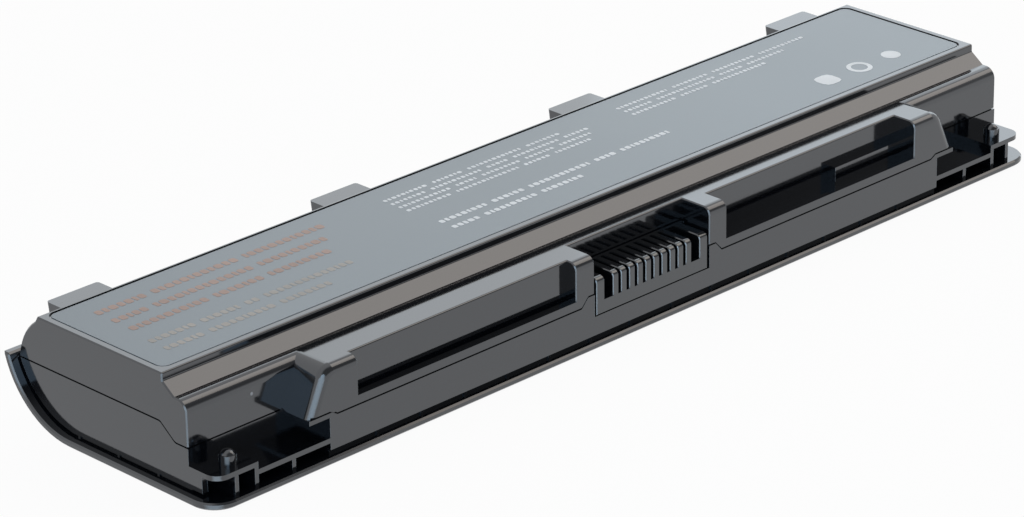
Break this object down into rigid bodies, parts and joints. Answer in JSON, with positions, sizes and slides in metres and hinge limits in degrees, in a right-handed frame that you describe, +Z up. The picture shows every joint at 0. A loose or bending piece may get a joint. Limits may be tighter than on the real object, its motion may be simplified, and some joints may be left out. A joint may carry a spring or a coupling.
{
  "type": "laptop battery",
  "caption": "Long clip-in laptop battery with a rolled rear skin, latch pockets and a comb connector along its nose; round cells and a protection board inside.",
  "frame": {"origin": "middle of the box round the whole part, on its flat underside", "axes": "+X along the length, the right end in the picture; +Y to the rolled rear skin, away from the connector; +Z up through the label"},
  "size_m": [0.207, 0.0526, 0.0204],
  "materials": {
    "case_plastic": "black moulding polished to a mirror gloss",
    "label_film": "satin grey film",
    "connector_plastic": "black moulding, glossy",
    "contact_metal": "gold-plated spring metal",
    "cell_sleeve": "shrunk plastic sleeve over a steel can",
    "insulating_paper": "plain insulating paper",
    "strip_metal": "rolled nickel strip",
    "foam": "closed-cell foam",
    "tape": "double-sided tape",
    "board_laminate": "green glass-fibre board",
    "chip_body": "moulded black package",
    "ceramic": "fired ceramic body",
    "bead": "dipped bead"
  },
  "bodies": {
    "root": {"upper_shell": "case_plastic", "lower_shell": "case_plastic", "label": "label_film", "connector_housing": "connector_plastic", "contact_1": "contact_metal", "contact_2": "contact_metal", "contact_3": "contact_metal", "contact_4": "contact_metal", "contact_5": "contact_metal", "contact_6": "contact_metal", "contact_7": "contact_metal", "contact_8": "contact_metal", "contact_9": "contact_metal", "front_cell_1": "cell_sleeve", "front_cell_2": "cell_sleeve", "front_cell_3": "cell_sleeve", "rear_cell_1": "cell_sleeve", "rear_cell_2": "cell_sleeve", "rear_cell_3": "cell_sleeve", "left_end_paper": "insulating_paper", "right_end_paper": "insulating_paper", "negative_strip": "strip_metal", "first_link": "strip_metal", "second_link": "strip_metal", "positive_strip": "strip_metal", "left_foam": "foam", "right_foam": "foam", "front_tape": "tape", "rear_tape": "tape", "protection_board": "board_laminate", "gauge_chip": "chip_body", "protector_chip": "chip_body", "charge_switch": "chip_body", "discharge_switch": "chip_body", "resistors": "chip_body", "sense_resistor": "chip_body", "capacitors": "ceramic", "board_fuse": "ceramic", "thermistor": "bead"}
  },
  "joints": []
}
